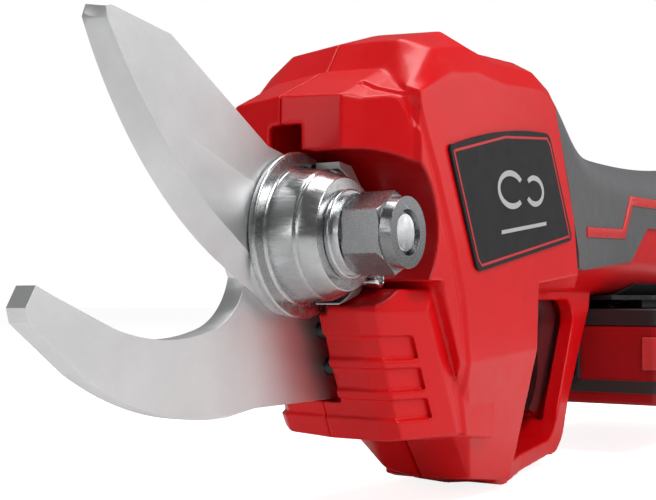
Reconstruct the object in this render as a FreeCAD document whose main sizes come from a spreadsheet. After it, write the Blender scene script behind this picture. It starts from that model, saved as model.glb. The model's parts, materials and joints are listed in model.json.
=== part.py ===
import FreeCAD, Part
import math
import os

import Sketcher

# Battery pruner for orchard and vineyard work.  Millimetres.
# Frame: the origin is on the blade pivot axis, in the plane where the two blades slide on each
# other.  +X runs to the rear along the handle, +Z is up, and the pivot nut faces -Y.
V = FreeCAD.Vector
doc = FreeCAD.newDocument("battery_pruner")
sheet = doc.addObject("Spreadsheet::Sheet", "sheet")

SIZES = {
    # cutting head
    "blade_thick": 3.0, "hook_thick": 5.0, "slide_gap": 0.06, "hub_disc_radius": 18.0,
    "tail_radius": 30.5, "bolt_radius": 5.0, "bush_radius": 7.0, "bolt_head_radius": 11.5,
    "flange_radius": 19.0, "flange_thick": 1.7, "boss_radius": 15.2, "boss_length": 8.2,
    "cone_radius": 12.6, "cone_length": 3.6, "washer_radius": 10.0, "washer_thick": 1.5,
    "spring_washer_radius": 9.0, "spring_washer_thick": 1.6, "nut_flats": 16.0, "nut_length": 9.5,
    "nut_collar_radius": 7.8, "nut_collar_length": 2.8,
    # drive
    "drive_tilt": 15.0, "drive_offset": 10.5, "pinion_teeth": 9.0, "face_teeth": 39.0,
    "mesh_radius": 26.0, "pinion_shaft_radius": 4.0, "gear_module": 0.8, "sun_teeth": 12.0,
    "planet_teeth": 12.0, "ring_teeth": 36.0, "ring_outer_radius": 16.4, "gear_width": 5.0,
    "motor_radius": 14.5, "motor_length": 40.0, "rotor_radius": 9.5, "motor_shaft_radius": 1.6,
    # housing
    "mid_plane": 2.0, "part_gap": 0.05, "recess_radius": 17.7, "recess_x": 4.3,
    "recess_up": 1.6, "grip_thick": 1.2, "plate_thick": 0.8,
    # battery
    "battery_front": 170.0, "battery_length": 118.0, "battery_width": 78.0,
    "battery_bottom": -50.0, "cell_radius": 9.1, "cell_length": 65.0,
    # trigger
    "trigger_width": 12.0, "pin_radius": 2.0, "running_gap": 0.05,
}
for row, (alias, value) in enumerate(SIZES.items(), start=1):
    sheet.set("A%d" % row, alias)
    sheet.set("B%d" % row, str(value))
    sheet.setAlias("B%d" % row, alias)
doc.recompute()
NODES = {}


def size(alias):
    """Value of one cell of the sheet."""
    return float(sheet.get(alias))


MID = size("mid_plane")
TILT = size("drive_tilt")


def keep(label, obj):
    """Name a finished sub-part: its label is its node and its file."""
    obj.Label = label
    NODES[label] = obj
    return obj


def solid(label, shape, place=None):
    """A sub-part whose shape is built in code from the sheet's sizes."""
    obj = doc.addObject("Part::Feature", label + "_solid")
    obj.Shape = shape
    if place:
        obj.Placement = place.multiply(obj.Placement)
    return keep(label, obj)


# ---------------------------------------------------------------- shape helpers
def face_xz(points, y):
    """Closed outline in a plane of constant y.  An item of three numbers marks an arc's middle."""
    edges = []
    start = V(points[0][0], y, points[0][1])
    here = start
    mid = None
    for item in list(points[1:]) + [points[0]]:
        there = V(item[0], y, item[1])
        if len(item) == 3:
            mid = there
            continue
        if mid:
            edges.append(Part.Arc(here, mid, there).toShape())
            mid = None
        else:
            edges.append(Part.LineSegment(here, there).toShape())
        here = there
    return Part.Wire(edges)


def prism_xz(points, y_low, y_high):
    """Straight prism along Y from an outline in X and Z."""
    return Part.Face(face_xz(points, y_low)).extrude(V(0, y_high - y_low, 0))


def prism_xy(points, z_low, z_high):
    """Straight prism along Z from an outline in X and Y."""
    wire = Part.makePolygon([V(x, y, z_low) for x, y in points + points[:1]])
    return Part.Face(wire).extrude(V(0, 0, z_high - z_low))


def loft_xz(sections):
    """Ruled loft along Y through outlines given as (y, points)."""
    return Part.makeLoft([face_xz(points, y) for y, points in sections], True, True)


def two_sides(near, middle, far):
    """Loft on both sides of the housing's middle plane, as one solid."""
    centre = [(MID, middle)]
    return loft_xz(near + centre).fuse(loft_xz(centre + far)).removeSplitter()


def box(x, y, z):
    """Box from three (low, high) pairs."""
    return Part.makeBox(x[1] - x[0], y[1] - y[0], z[1] - z[0], V(x[0], y[0], z[0]))


def disc(radius, y_low, y_high, x=0.0, z=0.0):
    """Cylinder along Y."""
    return Part.makeCylinder(radius, y_high - y_low, V(x, y_low, z), V(0, 1, 0))


def ring(outer, inner, y_low, y_high, x=0.0, z=0.0):
    """Tube along Y."""
    return disc(outer, y_low, y_high, x, z).cut(disc(inner, y_low - 1, y_high + 1, x, z))


def rounded_section(x, half_width, z_low, z_high, corner):
    """Rounded rectangle in a plane of constant x, centred on the housing's middle plane."""
    points = [V(x, MID - half_width, z_low), V(x, MID + half_width, z_low),
              V(x, MID + half_width, z_high), V(x, MID - half_width, z_high)]
    edges = []
    for i in range(4):
        here, there = points[i], points[(i + 1) % 4]
        after = points[(i + 2) % 4]
        along = (there - here).normalize()
        turn = (after - there).normalize()
        start = here + along * corner
        stop = there - along * corner
        leave = there + turn * corner
        middle = there - along * corner + turn * corner
        arc_mid = middle + (along - turn).normalize() * corner
        edges.append(Part.LineSegment(start, stop).toShape())
        edges.append(Part.Arc(stop, arc_mid, leave).toShape())
    return Part.Wire(edges)


def at_drive(distance=0.0, side=0.0, up=0.0):
    """Placement whose Z runs along the drive axis, this far from the blade pivot."""
    turn = FreeCAD.Rotation(V(0, 1, 0), 90.0 - TILT)
    middle = V(0, size("drive_offset"), 0)
    return FreeCAD.Placement(middle + turn.multVec(V(-up, side, distance)), turn)


# ---------------------------------------------------------------- document helpers
def bound(obj, **expressions):
    """Bind properties of an object to cells of the sheet."""
    for prop, expression in expressions.items():
        obj.setExpression(prop, expression)
    return obj


def cylinder(name, radius, height, place):
    """Part::Cylinder bound to the sheet."""
    obj = doc.addObject("Part::Cylinder", name)
    obj.Placement = place
    return bound(obj, Radius=radius, Height=height)


def cut(name, base, tool):
    obj = doc.addObject("Part::Cut", name)
    obj.Base = base
    obj.Tool = tool
    return obj


def fuse(name, shapes):
    obj = doc.addObject("Part::MultiFuse", name)
    obj.Shapes = shapes
    return obj


def new_body(label):
    return keep(label, doc.addObject("PartDesign::Body", label + "_body"))


def sketch(body, role, name, offset=0.0):
    """Sketch on one of the body's own origin planes, moved along the plane's normal."""
    item = body.newObject("Sketcher::SketchObject", name)
    plane = [f for f in body.Origin.OriginFeatures if f.Role == role][0]
    item.AttachmentSupport = [(plane, "")]
    item.MapMode = "FlatFace"
    item.AttachmentOffset = FreeCAD.Placement(V(0, 0, offset), FreeCAD.Rotation())
    return item


def outline(item, points):
    """Closed outline of lines and arcs in a sketch."""
    here = V(points[0][0], points[0][1], 0)
    mid = None
    for entry in list(points[1:]) + [points[0]]:
        there = V(entry[0], entry[1], 0)
        if len(entry) == 3:
            mid = there
            continue
        if mid:
            item.addGeometry(Part.Arc(here, mid, there), False)
            mid = None
        else:
            item.addGeometry(Part.LineSegment(here, there), False)
        here = there


def circle(item, x, y, radius):
    """Circle in a sketch whose radius is bound to an expression."""
    index = item.addGeometry(Part.Circle(V(x, y, 0), V(0, 0, 1), 1.0), False)
    item.addConstraint(Sketcher.Constraint("Radius", index, 1.0))
    item.setExpression("Constraints[%d]" % (item.ConstraintCount - 1), radius)


def pad(body, profile, length, reverse=False):
    item = body.newObject("PartDesign::Pad", "Pad")
    item.Profile = profile
    item.Reversed = reverse
    return bound(item, Length=length)


def pocket(body, profile, length, reverse=False):
    item = body.newObject("PartDesign::Pocket", "Pocket")
    item.Profile = profile
    item.Reversed = reverse
    return bound(item, Length=length)


def revolved(label, points):
    """Body turned about the pivot axis; points are (x, distance towards -Y)."""
    body = new_body(label)
    profile = sketch(body, "XY_Plane", label + "_profile")
    outline(profile, [(x, -out) for x, out in points])
    item = body.newObject("PartDesign::Revolution", "Revolution")
    item.Profile = profile
    item.ReferenceAxis = (profile, ["V_Axis"])
    item.Angle = 360
    return body


# ================================================================ cutting head
def on_circle(radius, degrees):
    """Point in X and Z at this angle from +X towards +Z."""
    angle = math.radians(degrees)
    return (radius * math.cos(angle), radius * math.sin(angle))


TAIL_LOW, TAIL_HIGH = -46.5, 27.0          # the toothed tail's ends at rest, in degrees
SPINE = [(-60.6, 40.2), (-43.8, 37.8), (-11.3, 19.3), (-3.0, 17.7)]
SHARP_TIP = [(-65.4, 37.4), (-64.4, 39.9)]
FLAT_TIP = [(-61.8, 37.6), (-62.2, 39.7)]
EDGE_SHARP = [(-9.0, -15.2), (-26.4, -5.8), (-48.0, 11.2, "mid")]
EDGE_FLAT = [(-9.0, -10.5), (-24.0, -0.5), (-43.6, 14.6, "mid")]


def make_cutting_blade():
    """Moving blade: ground crescent, hub disc and the tail that carries the gear sector."""
    body = new_body("cutting_blade")
    far = sketch(body, "XZ_Plane", "edge_side", 0.0)
    outline(far, SHARP_TIP + SPINE + [(0.0, 0.0)] + EDGE_SHARP)
    near = sketch(body, "XZ_Plane", "flat_side", size("blade_thick"))
    outline(near, FLAT_TIP + SPINE + [(0.0, 0.0)] + EDGE_FLAT)
    item = body.newObject("PartDesign::AdditiveLoft", "Loft")
    item.Profile = far
    item.Sections = [near]
    item.Ruled = True
    disc_sketch = sketch(body, "XZ_Plane", "hub_disc")
    circle(disc_sketch, 0, 0, "sheet.hub_disc_radius")
    pad(body, disc_sketch, "sheet.blade_thick")
    tail = sketch(body, "XZ_Plane", "tail")
    radius = size("tail_radius")
    middle = on_circle(radius, (TAIL_LOW + TAIL_HIGH) / 2)
    outline(tail, [(0.0, 0.0), on_circle(radius, TAIL_LOW), middle + ("mid",), on_circle(radius, TAIL_HIGH)])
    pad(body, tail, "sheet.blade_thick")
    bore = sketch(body, "XZ_Plane", "bore")
    circle(bore, 0, 0, "sheet.bush_radius")
    pocket(body, bore, "sheet.blade_thick", True)
    holes = sketch(body, "XZ_Plane", "rivet_holes")
    for angle in RIVET_ANGLES:
        x, z = on_circle(RIVET_CIRCLE, angle)
        circle(holes, x, z, "1.5")
    pocket(body, holes, "sheet.blade_thick", True)


RIVET_ANGLES = (-38.0, -10.0, 18.0)
RIVET_CIRCLE = 21.0
HOOK_SCREWS = [(14.6, -21.6), (18.0, -30.5)]


def make_hook_blade():
    """Fixed counter-blade: a thick hook bolted between the two housing shells."""
    body = new_body("hook_blade")
    gap = size("slide_gap")
    plan = sketch(body, "XZ_Plane", "hook", -gap)
    outline(plan, [(-76.5, -11.9), (-78.9, -15.9), (-78.2, -18.6), (-65.6, -28.2), (-44.5, -37.2, "mid"),
                   (-21.7, -39.6), (-12.0, -38.4), (22.0, -38.4), (25.0, -30.0), (12.6, -14.6),
                   (-4.0, -14.0), (-14.8, -7.0), (-17.8, -14.9, "mid"), (-26.0, -20.6), (-40.0, -22.5, "mid"),
                   (-56.5, -20.0), (-72.2, -13.8)])
    pad(body, plan, "sheet.hook_thick", True)
    disc_sketch = sketch(body, "XZ_Plane", "hub_disc", -gap)
    circle(disc_sketch, 0, 0, "sheet.hub_disc_radius")
    pad(body, disc_sketch, "sheet.hook_thick", True)
    bore = sketch(body, "XZ_Plane", "bore", -gap)
    circle(bore, 0, 0, "sheet.bush_radius + 0.01")
    pocket(body, bore, "sheet.hook_thick")
    holes = sketch(body, "XZ_Plane", "screw_holes", -gap)
    for x, z in HOOK_SCREWS:
        circle(holes, x, z, "2.1")
    pocket(body, holes, "sheet.hook_thick")


def make_pivot():
    """Pivot bolt, bush, clamping hub, washers and lock nut, stacked along the pivot axis."""
    near = size("blade_thick")
    bolt = size("bolt_radius")
    head_from = size("hook_thick") + size("slide_gap")
    flange_out = near + 0.1
    boss_out = flange_out + size("flange_thick")
    cone_out = boss_out + size("boss_length")
    hub_out = cone_out + size("cone_length")
    washer_out = hub_out + size("washer_thick")
    nut_in = washer_out + size("spring_washer_thick")
    nut_out = nut_in + size("nut_length")
    collar_out = nut_out + size("nut_collar_length")
    flange = size("flange_radius")
    boss = size("boss_radius")
    cone = size("cone_radius")
    revolved("clamp_hub", [
        (bolt, flange_out), (flange - 0.3, flange_out), (flange, flange_out + 0.3),
        (flange, boss_out - 0.4), (flange - 0.4, boss_out), (boss + 0.5, boss_out),
        (boss, boss_out + 0.5), (boss - 0.5, cone_out - 1.2), (boss - 0.9, cone_out - 0.7),
        (boss - 0.9, cone_out), (cone, hub_out), (bolt, hub_out)])
    washer = size("washer_radius")
    revolved("flat_washer", [
        (bolt, hub_out), (washer - 0.2, hub_out), (washer, hub_out + 0.2),
        (washer, washer_out - 0.3), (washer - 0.3, washer_out), (bolt, washer_out)])
    # split spring washer: a ring with a slanted cut
    outer = size("spring_washer_radius")
    split = ring(outer, bolt + 0.3, -nut_in, -washer_out)
    slot = box((0, outer + 1), (-nut_in - 1, -washer_out + 1), (-0.45, 0.45))
    slot.rotate(V(0, -(nut_in + washer_out) / 2, 0), V(1, 0, 0), 35)
    slot.rotate(V(0, 0, 0), V(0, 1, 0), 62)
    solid("spring_washer", split.cut(slot))
    # hexagon lock nut with corners up and down, and a round collar
    half = size("nut_flats") / 2
    corner = half / math.cos(math.pi / 6)
    points = [on_circle(corner, 90 + 60 * i) for i in range(6)]
    hexagon = prism_xz(points, -nut_out, -nut_in)
    cone_tool = Part.makeCone(half + 0.2, half + 0.2 + 12 * math.tan(math.radians(60)), 12,
                              V(0, -nut_out, 0), V(0, 1, 0))
    seat_tool = Part.makeCone(half + 0.2, half + 0.2 + 12 * math.tan(math.radians(60)), 12,
                              V(0, -nut_in, 0), V(0, -1, 0))
    hexagon = hexagon.common(cone_tool).common(seat_tool)
    collar = size("nut_collar_radius")
    collar_solid = disc(collar, -collar_out, -nut_out + 0.5)
    nut = hexagon.fuse(collar_solid).cut(disc(bolt + 0.02, -collar_out - 1, 0))
    solid("lock_nut", nut.removeSplitter())
    # pivot bolt: flanged round head on the far side, shank, and a domed end inside the nut's collar
    end_out = collar_out - 0.7
    head = size("bolt_head_radius")
    revolved("pivot_bolt", [
        (0.0, -head_from - 8.0), (4.0, -head_from - 8.0), (4.0, -head_from - 7.9),
        (8.2, -head_from - 7.9), (9.0, -head_from - 7.1), (9.0, -head_from - 2.2),
        (head - 0.4, -head_from - 2.2), (head, -head_from - 1.8), (head, -head_from - 0.02),
        (bolt - 0.02, -head_from - 0.02), (bolt - 0.02, end_out - 1.0), (bolt - 1.0, end_out),
        (0.0, end_out)])
    socket = doc.getObject("pivot_bolt_body")
    recess = sketch(socket, "XZ_Plane", "key_recess", -(head_from + 8.0))
    outline(recess, [on_circle(3.5, 60 * i) for i in range(6)])
    pocket(socket, recess, "4", True)
    bush = size("bush_radius")
    revolved("pivot_bush", [
        (bolt, -head_from), (bush - 0.05, -head_from), (bush - 0.05, near), (bolt, near)])


def make_rivets():
    """Rivets that hold the gear sector on the blade's tail."""
    pins = []
    for angle in RIVET_ANGLES:
        x, z = on_circle(RIVET_CIRCLE, angle)
        pins.append(disc(1.5, -size("blade_thick"), 2.6, x, z))
    solid("sector_rivets", Part.makeCompound(pins))


# ================================================================ gears
def toothed(teeth, pitch_radius, tip, root, tip_width, root_width, length, turn=0.0):
    """Gear blank along Z whose straight-sided teeth have these widths at tip and root."""
    points = []
    for i in range(int(teeth)):
        middle = 2 * math.pi * i / teeth + math.radians(turn)
        for radius, width, side in ((root, root_width, -1), (tip, tip_width, -1),
                                    (tip, tip_width, 1), (root, root_width, 1)):
            angle = middle + side * width / 2 / pitch_radius * pitch_radius / radius
            points.append(V(radius * math.cos(angle), radius * math.sin(angle), 0))
    return Part.Face(Part.makePolygon(points + points[:1])).extrude(V(0, 0, length))


PINION_PITCH = size("mesh_radius") * size("pinion_teeth") / size("face_teeth")
TOOTH_UP = 0.85
SECTOR_BACK = 2.6
PITCH_PLANE = size("drive_offset") - PINION_PITCH
PINION_FROM, PINION_LENGTH = 23.0, 6.0
CARRIER_AT = 43.5
SECTOR_FIRST, SECTOR_LAST = -7, 0              # teeth counted from the drive axis


def make_gear_sector():
    """Face gear sector: an arc plate with radial teeth that the pinion drives."""
    inner, outer = 18.6, size("tail_radius")
    far = outer + 12
    wedge = prism_xz([(0, 0), on_circle(far, TAIL_LOW), on_circle(far * 1.3, (TAIL_LOW + TAIL_HIGH) / 2),
                      on_circle(far, TAIL_HIGH)], -1, 20)
    plate = ring(outer, inner, 0.0, SECTOR_BACK).common(wedge)
    for angle in RIVET_ANGLES:
        x, z = on_circle(RIVET_CIRCLE, angle)
        plate = plate.cut(disc(1.5, -1, SECTOR_BACK + 1, x, z))
    top = PITCH_PLANE + TOOTH_UP
    step = 360.0 / size("face_teeth")
    base_half, top_half = 0.85, 0.5
    teeth = []
    for k in range(SECTOR_FIRST, SECTOR_LAST + 1):
        profile = [V(22.6, SECTOR_BACK - 0.3, -base_half), V(22.6, SECTOR_BACK - 0.3, base_half),
                   V(22.6, top, top_half), V(22.6, top, -top_half)]
        tooth = Part.Face(Part.makePolygon(profile + profile[:1])).extrude(V(outer - 22.8, 0, 0))
        tooth.rotate(V(0, 0, 0), V(0, 1, 0), -(TILT + (k + 0.5) * step))
        teeth.append(tooth)
    solid("gear_sector", plate.multiFuse(teeth).removeSplitter())


def make_pinion():
    """Drive pinion with its shaft."""
    gear = toothed(size("pinion_teeth"), PINION_PITCH, PINION_PITCH + TOOTH_UP, PINION_PITCH - 1.25,
                   0.9, 2.0, PINION_LENGTH, 0.0)
    gear.translate(V(0, 0, PINION_FROM))
    shaft = Part.makeCylinder(size("pinion_shaft_radius"), CARRIER_AT - PINION_FROM - PINION_LENGTH + 0.5,
                              V(0, 0, PINION_FROM + PINION_LENGTH - 0.5))
    # a tooth points at the sector, half-way between two of the sector's teeth
    gear = gear.fuse(shaft)
    gear.rotate(V(0, 0, 0), V(0, 0, 1), -90)
    solid("drive_pinion", gear.removeSplitter(), at_drive())


MODULE = size("gear_module")
CARRIER_RADIUS = MODULE * (size("sun_teeth") + size("planet_teeth")) / 2
STAGE_FROM = CARRIER_AT + 3.0


def stage_gear(teeth, turn):
    """Small external gear of the planetary stage."""
    pitch = MODULE * teeth / 2
    return toothed(teeth, pitch, pitch + 0.6 * MODULE, pitch - 0.9 * MODULE, 0.34 * MODULE,
                   1.45 * MODULE, size("gear_width"), turn)


def make_planetary():
    """Planet carrier, three planets, sun and ring gear."""
    carrier = Part.makeCylinder(13.2, 2.6, V(0, 0, CARRIER_AT))
    for i in range(3):
        angle = 2 * math.pi * i / 3
        spot = V(CARRIER_RADIUS * math.cos(angle), CARRIER_RADIUS * math.sin(angle), CARRIER_AT)
        carrier = carrier.fuse(Part.makeCylinder(1.6, 2.6 + size("gear_width") + 0.6, spot))
        planet = stage_gear(size("planet_teeth"), 0.0)
        planet = planet.cut(Part.makeCylinder(1.65, size("gear_width") + 2, V(0, 0, -1)))
        place = at_drive().multiply(FreeCAD.Placement(
            V(spot.x, spot.y, STAGE_FROM), FreeCAD.Rotation(V(0, 0, 1), PLANET_TURN[i])))
        solid("planet_gear_%d" % (i + 1), planet, place)
    solid("planet_carrier", carrier.removeSplitter(), at_drive())
    sun = stage_gear(size("sun_teeth"), 0.0)
    sun = sun.cut(Part.makeCylinder(size("motor_shaft_radius"), size("gear_width") + 2, V(0, 0, -1)))
    sun.rotate(V(0, 0, 0), V(0, 0, 1), SUN_TURN)
    sun.translate(V(0, 0, STAGE_FROM))
    solid("sun_gear", sun, at_drive())
    pitch = MODULE * size("ring_teeth") / 2
    inside = toothed(size("ring_teeth"), pitch, pitch + 0.9 * MODULE, pitch - 0.6 * MODULE,
                     1.0 * MODULE, 2.5 * MODULE, size("gear_width") + 2, RING_TURN)
    inside.translate(V(0, 0, STAGE_FROM - 1))
    blank = Part.makeCylinder(size("ring_outer_radius"), size("gear_width"), V(0, 0, STAGE_FROM))
    solid("ring_gear", blank.cut(inside), at_drive())


# With equal sun and planet gears a sun tooth faces each planet, so every planet shows it a gap.
PLANET_TURN = [15.0, 15.0, 15.0]
SUN_TURN = 0.0
RING_TURN = 5.0


def make_gearbox():
    """Gearbox housing with its bearing, and the cover plate between gearbox and motor."""
    outer = size("ring_outer_radius") + 1.8
    tube_from, tube_to = 31.0, STAGE_FROM + size("gear_width") + 0.6
    tube = Part.makeCylinder(outer, tube_to - tube_from, V(0, 0, tube_from))
    tube = tube.cut(Part.makeCylinder(size("ring_outer_radius"), 60, V(0, 0, STAGE_FROM - 0.4)))
    tube = tube.cut(Part.makeCylinder(13.8, 60, V(0, 0, CARRIER_AT - 0.6)))
    tube = tube.cut(Part.makeCylinder(9.5, 60, V(0, 0, 33.2)))
    tube = tube.cut(Part.makeCylinder(6.5, 60, V(0, 0, 0)))
    solid("gearbox_housing", tube, at_drive())
    bearing = Part.makeCylinder(9.5, 7.0, V(0, 0, 33.2))
    bearing = bearing.cut(Part.makeCylinder(4.03, 20, V(0, 0, 30)))
    groove = Part.makeTorus(6.75, 1.0, V(0, 0, 33.2))
    bearing = bearing.cut(groove).cut(groove.translated(V(0, 0, 7.0)))
    solid("pinion_bearing", bearing, at_drive())
    plate = Part.makeCylinder(outer, 1.6, V(0, 0, tube_to))
    plate = plate.cut(Part.makeCylinder(5.5, 10, V(0, 0, tube_to - 1)))
    solid("motor_plate", plate, at_drive())
    return tube_to + 1.6


def make_motor(start):
    """Brushless motor: can, rotor with shaft, magnet ring, rear bearing and winding."""
    length = size("motor_length")
    can = cylinder("motor_can_outer", "sheet.motor_radius", "sheet.motor_length", at_drive(start))
    bore = doc.addObject("Part::Cylinder", "motor_can_bore")
    bore.Placement = at_drive(start + 1.6)
    bound(bore, Radius="sheet.motor_radius - 1.4", Height="sheet.motor_length - 3.2")
    front = doc.addObject("Part::Cylinder", "motor_can_eye")
    front.Placement = at_drive(start - 1)
    bound(front, Radius="5.0", Height="sheet.motor_length + 2")
    keep("motor_can", cut("motor_can_cut", can, fuse("motor_can_tools", [bore, front])))
    winding = Part.makeCylinder(size("motor_radius") - 1.4, length - 12, V(0, 0, start + 6))
    winding = winding.cut(Part.makeCylinder(size("rotor_radius") + 0.5, length, V(0, 0, start)))
    for i in range(9):
        slot = box((size("rotor_radius") + 1.5, size("motor_radius")), (-0.9, 0.9), (start, start + length))
        slot.rotate(V(0, 0, 0), V(0, 0, 1), 40 * i)
        winding = winding.cut(slot)
    solid("motor_winding", winding, at_drive())
    rotor = Part.makeCylinder(size("rotor_radius"), length - 13, V(0, 0, start + 6.5))
    rotor = rotor.cut(Part.makeCylinder(size("motor_shaft_radius"), 80, V(0, 0, start - 10)))
    solid("motor_rotor", rotor, at_drive())
    shaft_from = STAGE_FROM
    shaft = Part.makeCylinder(size("motor_shaft_radius"), start + length + 2 - shaft_from, V(0, 0, shaft_from))
    solid("motor_shaft", shaft, at_drive())
    bearing = Part.makeCylinder(5.0, 2.6, V(0, 0, start + length - 2.6))
    bearing = bearing.cut(Part.makeCylinder(size("motor_shaft_radius") + 0.03, 10, V(0, 0, start + length - 5)))
    front_bearing = Part.makeCylinder(5.0, 2.6, V(0, 0, start))
    front_bearing = front_bearing.cut(
        Part.makeCylinder(size("motor_shaft_radius") + 0.03, 10, V(0, 0, start - 3)))
    solid("motor_bearings", Part.makeCompound([bearing, front_bearing]), at_drive())


# ================================================================ housing
CHIN_REAR = 60.0
CHIN_NEAR = [
    (-24.4, [(26.0, -12.0), (22.5, -17.0), (29.0, -29.0), (38.0, -47.4)]),
    (-18.4, [(10.5, -12.0), (8.5, -17.2), (13.5, -29.0), (21.0, -47.4)]),
    (-14.4, [(9.5, -12.0), (7.0, -17.0), (12.0, -29.0), (20.3, -48.0)])]
CHIN_MIDDLE = [(9.0, -12.0), (7.6, -16.4), (12.0, -29.0), (22.0, -48.2)]
CHIN_FAR = [
    (15.0, [(10.0, -12.0), (8.5, -17.0), (13.5, -29.0), (23.5, -47.6)]),
    (19.5, [(14.0, -12.0), (12.5, -17.2), (18.0, -29.0), (28.0, -46.8)]),
    (26.0, [(28.0, -12.0), (26.0, -17.0), (32.0, -29.0), (40.0, -46.0)])]


def chin_volume(inset):
    """Chin below the blades, with its front and sides set in by this much."""
    def closed(front):
        low = front[-1][1] - 3.0
        return [(x + inset, z) for x, z in front] + [(CHIN_REAR, low), (CHIN_REAR, -12.0)]
    near = [(y + inset, closed(points)) for y, points in CHIN_NEAR]
    far = [(y - inset, closed(points)) for y, points in CHIN_FAR]
    return two_sides(near, closed(CHIN_MIDDLE), far)


def outer_volume():
    """Whole outer volume of head, guard and handle, before it is split and hollowed."""
    brow = two_sides([
        (-25.4, [(13.0, 17.5), (12.0, 32.0), (20.0, 36.0), (34.0, 36.0), (34.0, 17.5)]),
        (-17.0, [(5.0, 17.0), (5.0, 31.0), (19.0, 38.6), (34.0, 38.6), (34.0, 17.0)]),
        (-14.0, [(1.4, 16.0), (1.4, 31.6), (18.4, 39.6), (34.0, 39.6), (34.0, 16.0)])],
        [(0.4, 15.2), (0.4, 32.4), (18.0, 40.6), (34.0, 40.6), (34.0, 15.2)], [
        (17.0, [(3.4, 16.0), (3.4, 31.6), (20.4, 39.6), (34.0, 39.6), (34.0, 16.0)]),
        (20.5, [(8.0, 17.0), (8.0, 31.0), (22.0, 38.6), (34.0, 38.6), (34.0, 17.0)]),
        (29.4, [(19.0, 17.5), (18.0, 31.0), (25.0, 35.0), (34.0, 35.0), (34.0, 17.5)])])
    chin = chin_volume(0.0)
    body = two_sides([
        (-27.6, [(14.0, -10.0), (14.0, 17.0), (13.5, 33.0), (30.0, 39.0), (44.0, 41.5), (60.0, 41.0),
                 (84.0, 43.0), (92.5, 40.0), (107.0, 8.0), (110.0, -7.0), (80.0, -10.0)]),
        (-24.2, [(13.0, -10.0), (13.0, 17.0), (12.6, 34.0), (26.0, 45.0), (43.0, 48.2), (60.0, 46.8),
                 (84.0, 48.4), (95.5, 45.0), (111.0, 18.0), (116.0, -11.0), (80.0, -11.5)]),
        (-17.0, [(13.0, -10.0), (13.0, 17.0), (18.0, 38.0), (23.0, 47.6), (43.0, 53.0), (61.0, 50.8),
                 (87.0, 52.4), (102.0, 48.8), (120.0, 33.0), (126.0, -12.0), (80.0, -12.0)])],
        [(13.0, -10.0), (13.0, 17.0), (18.0, 38.0), (26.0, 48.8), (44.0, 54.4), (62.0, 52.4),
         (89.0, 54.0), (105.0, 50.4), (128.0, 37.0), (130.0, -12.0), (80.0, -12.0)], [
        (21.0, [(16.0, -10.0), (16.0, 17.0), (22.0, 37.0), (33.0, 49.0), (47.0, 53.2), (62.0, 50.8),
                (87.0, 52.4), (102.0, 48.8), (120.0, 33.0), (126.0, -12.0), (80.0, -12.0)]),
        (28.2, [(19.0, -10.0), (19.0, 17.0), (21.0, 33.0), (33.0, 44.0), (47.0, 47.6), (60.0, 46.8),
                (84.0, 48.4), (95.5, 45.0), (111.0, 18.0), (116.0, -11.0), (80.0, -11.5)]),
        (31.6, [(22.0, -10.0), (22.0, 17.0), (25.0, 31.5), (37.0, 38.0), (48.0, 41.0), (60.0, 41.0),
                (84.0, 43.0), (92.5, 40.0), (107.0, 8.0), (110.0, -7.0), (80.0, -10.0)])])
    keel = two_sides([
        (-27.6, [(23.0, 2.0), (25.0, -12.4), (33.0, -29.0), (38.0, -30.0), (80.0, -28.0), (82.0, 2.0)]),
        (-18.5, [(22.0, 4.0), (25.0, -12.4), (48.0, -50.0), (57.0, -61.0), (82.0, -64.5), (84.0, 4.0)])],
        [(22.0, 4.0), (25.0, -12.4), (57.0, -50.5), (68.0, -64.0), (84.0, -67.2), (86.0, 4.0)], [
        (12.0, [(22.0, 4.0), (25.0, -12.4), (57.0, -50.0), (65.0, -61.5), (84.0, -66.6), (86.0, 4.0)]),
        (22.5, [(22.0, 4.0), (25.0, -12.4), (58.0, -46.0), (66.0, -52.0), (82.0, -56.0), (84.0, 4.0)]),
        (31.6, [(23.0, 2.0), (25.0, -12.4), (36.0, -29.0), (42.0, -30.0), (80.0, -28.0), (82.0, 2.0)])])
    guard_side = prism_xz([
        (79.0, -65.0), (84.0, -66.4), (130.0, -63.2), (138.5, -62.0, "mid"), (144.0, -56.0),
        (148.5, -46.0), (168.0, -17.0), (170.0, -8.0), (78.0, -8.0), (78.0, -14.0), (78.0, -58.0)],
        MID - 30, MID + 30)
    opening = prism_xz([
        (87.0, -14.5), (87.0, -57.5), (92.0, -60.0, "mid"), (96.0, -60.5), (128.0, -58.6),
        (134.6, -56.0, "mid"), (138.0, -50.0), (151.0, -24.0), (151.5, -18.0, "mid"), (146.0, -14.5)],
        MID - 40, MID + 40)
    plan = [(60.0, 18.0), (86.0, 17.6), (104.0, 14.2), (134.0, 12.0), (172.0, 11.0)]
    guard_plan = prism_xy([(x, MID - w) for x, w in plan] + [(x, MID + w) for x, w in reversed(plan)],
                          -80, 10)
    guard = guard_side.common(guard_plan)
    handle = handle_volume(0.0)
    whole = brow.multiFuse([chin, body, keel, guard, handle]).cut(opening)
    return whole.removeSplitter()


HANDLE_SECTIONS = [
    # distance along X, half width, low z, high z, corner radius
    (96.0, 24.0, -11.5, 50.6, 12.0), (112.0, 22.8, -12.0, 48.4, 13.0), (130.0, 21.0, -12.4, 40.0, 13.5),
    (150.0, 19.6, -12.6, 34.4, 13.5), (178.0, 18.8, -12.8, 33.0, 13.5), (214.0, 18.6, -12.8, 33.8, 13.5),
    (250.0, 19.4, -12.8, 36.2, 13.5), (280.0, 20.4, -12.8, 37.6, 13.5)]


def handle_volume(grow):
    """Handle as a smooth loft through rounded sections, grown outwards by an offset."""
    wires = [rounded_section(x, w + grow, low - grow, high + grow, r + grow)
             for x, w, low, high, r in HANDLE_SECTIONS]
    return Part.makeLoft(wires, True, False)


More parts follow.
